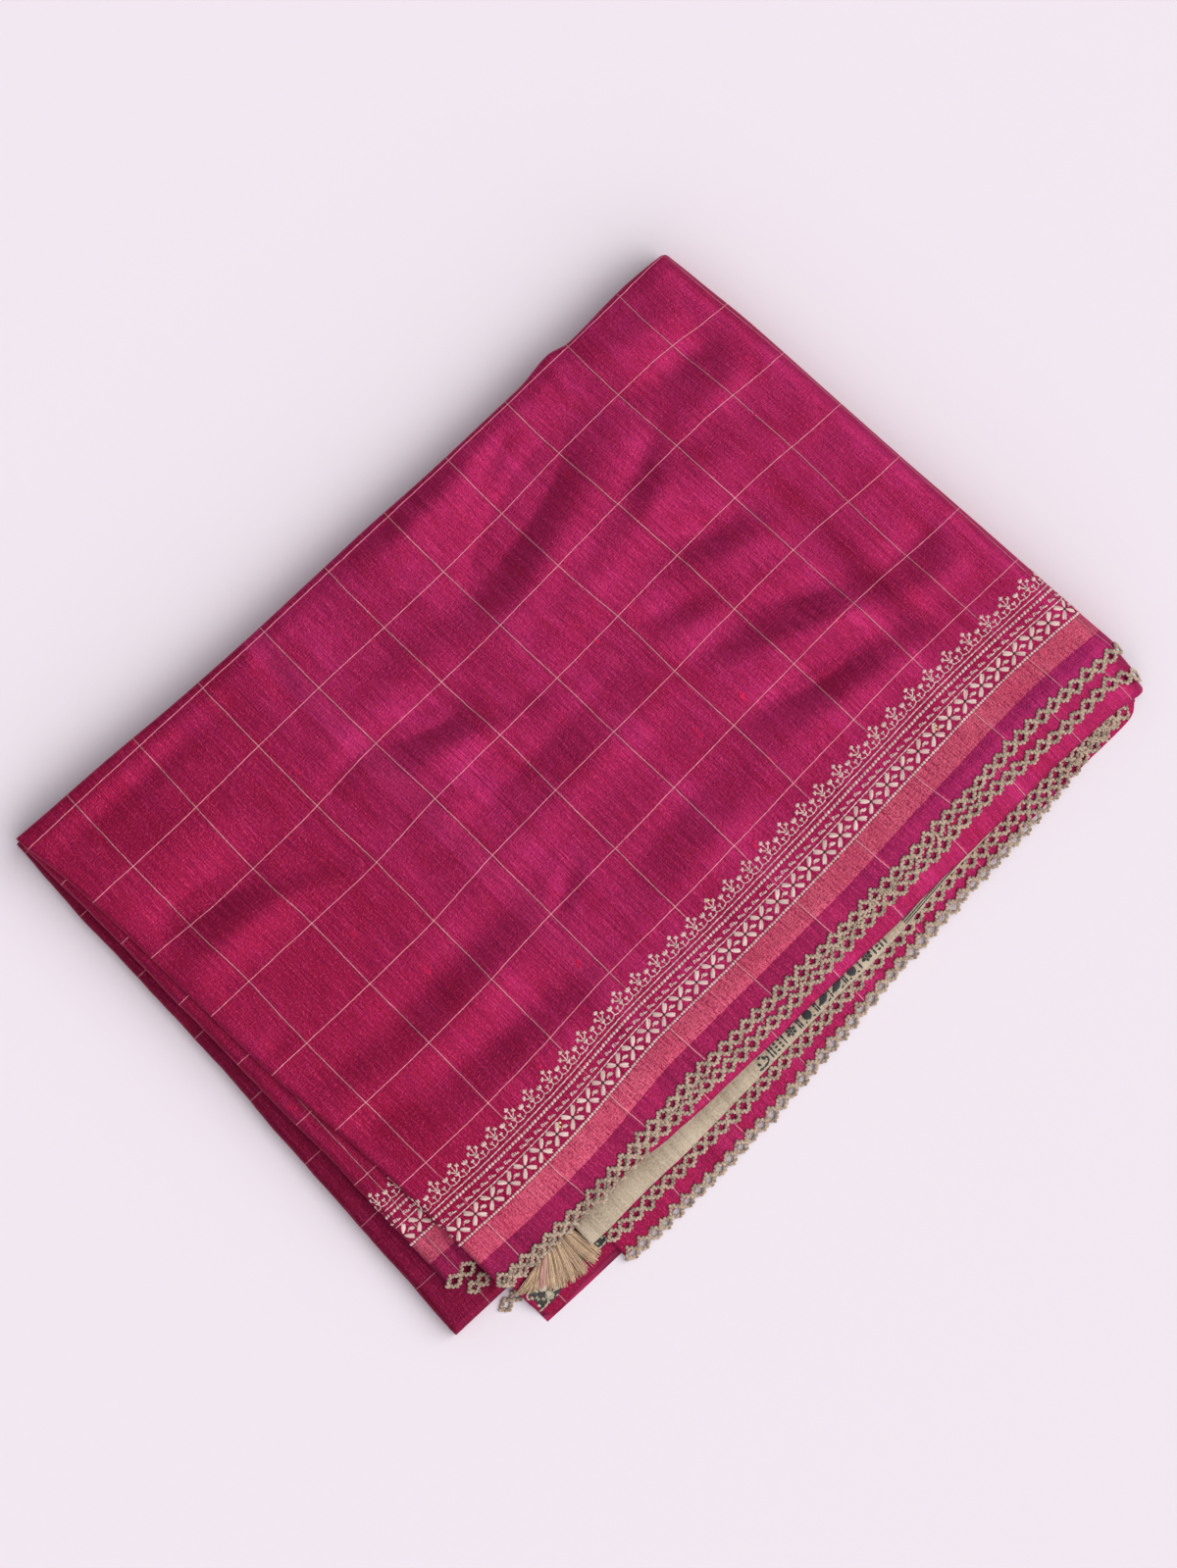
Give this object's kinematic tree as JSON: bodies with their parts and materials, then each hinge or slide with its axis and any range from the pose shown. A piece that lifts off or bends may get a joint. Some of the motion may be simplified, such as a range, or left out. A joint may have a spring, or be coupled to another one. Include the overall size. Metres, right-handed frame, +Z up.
{
  "type": "folded silk sari",
  "caption": "Magenta handloom silk sari folded flat, with woven borders, crocheted edgings, a pallu band and a fringe",
  "frame": {"origin": "centre of the bounding box on the table plane the pile rests on", "axes": "+X runs along the pile towards its last fold, +Y from the bordered front to the folded back, +Z up"},
  "size_m": [0.4262, 0.3274, 0.025],
  "materials": {
    "silk": "magenta handloom silk with slubs, a soft sheen and fine beige check lines",
    "shaded_silk": "the same silk where it lies low in the pile, deep magenta",
    "folded_layers": "edges of folded magenta silk layers",
    "pallu_silk": "beige raw silk with a black woven band of leaves and flowers",
    "crochet_yarn": "khaki-beige twisted cotton, hand crocheted",
    "fringe_yarn": "straw-coloured loose silk threads"
  },
  "bodies": {
    "root": {"top_panel": "silk", "second_selvedge": "silk", "front_fold": "silk", "inner_selvedge": "silk", "lower_selvedge": "silk", "corner_fold": "silk", "middle_stretch": "silk", "lower_stretch": "shaded_silk", "under_fold": "shaded_silk", "hidden_layers": "folded_layers", "hidden_layers_lower": "folded_layers", "hidden_layers_middle": "folded_layers", "pallu_fold": "pallu_silk", "crochet_top": "crochet_yarn", "crochet_second": "crochet_yarn", "crochet_inner": "crochet_yarn", "crochet_lower": "crochet_yarn", "crochet_left_upper": "crochet_yarn", "crochet_left_middle": "crochet_yarn", "crochet_left_lower": "crochet_yarn", "fringe": "fringe_yarn"}
  },
  "joints": []
}
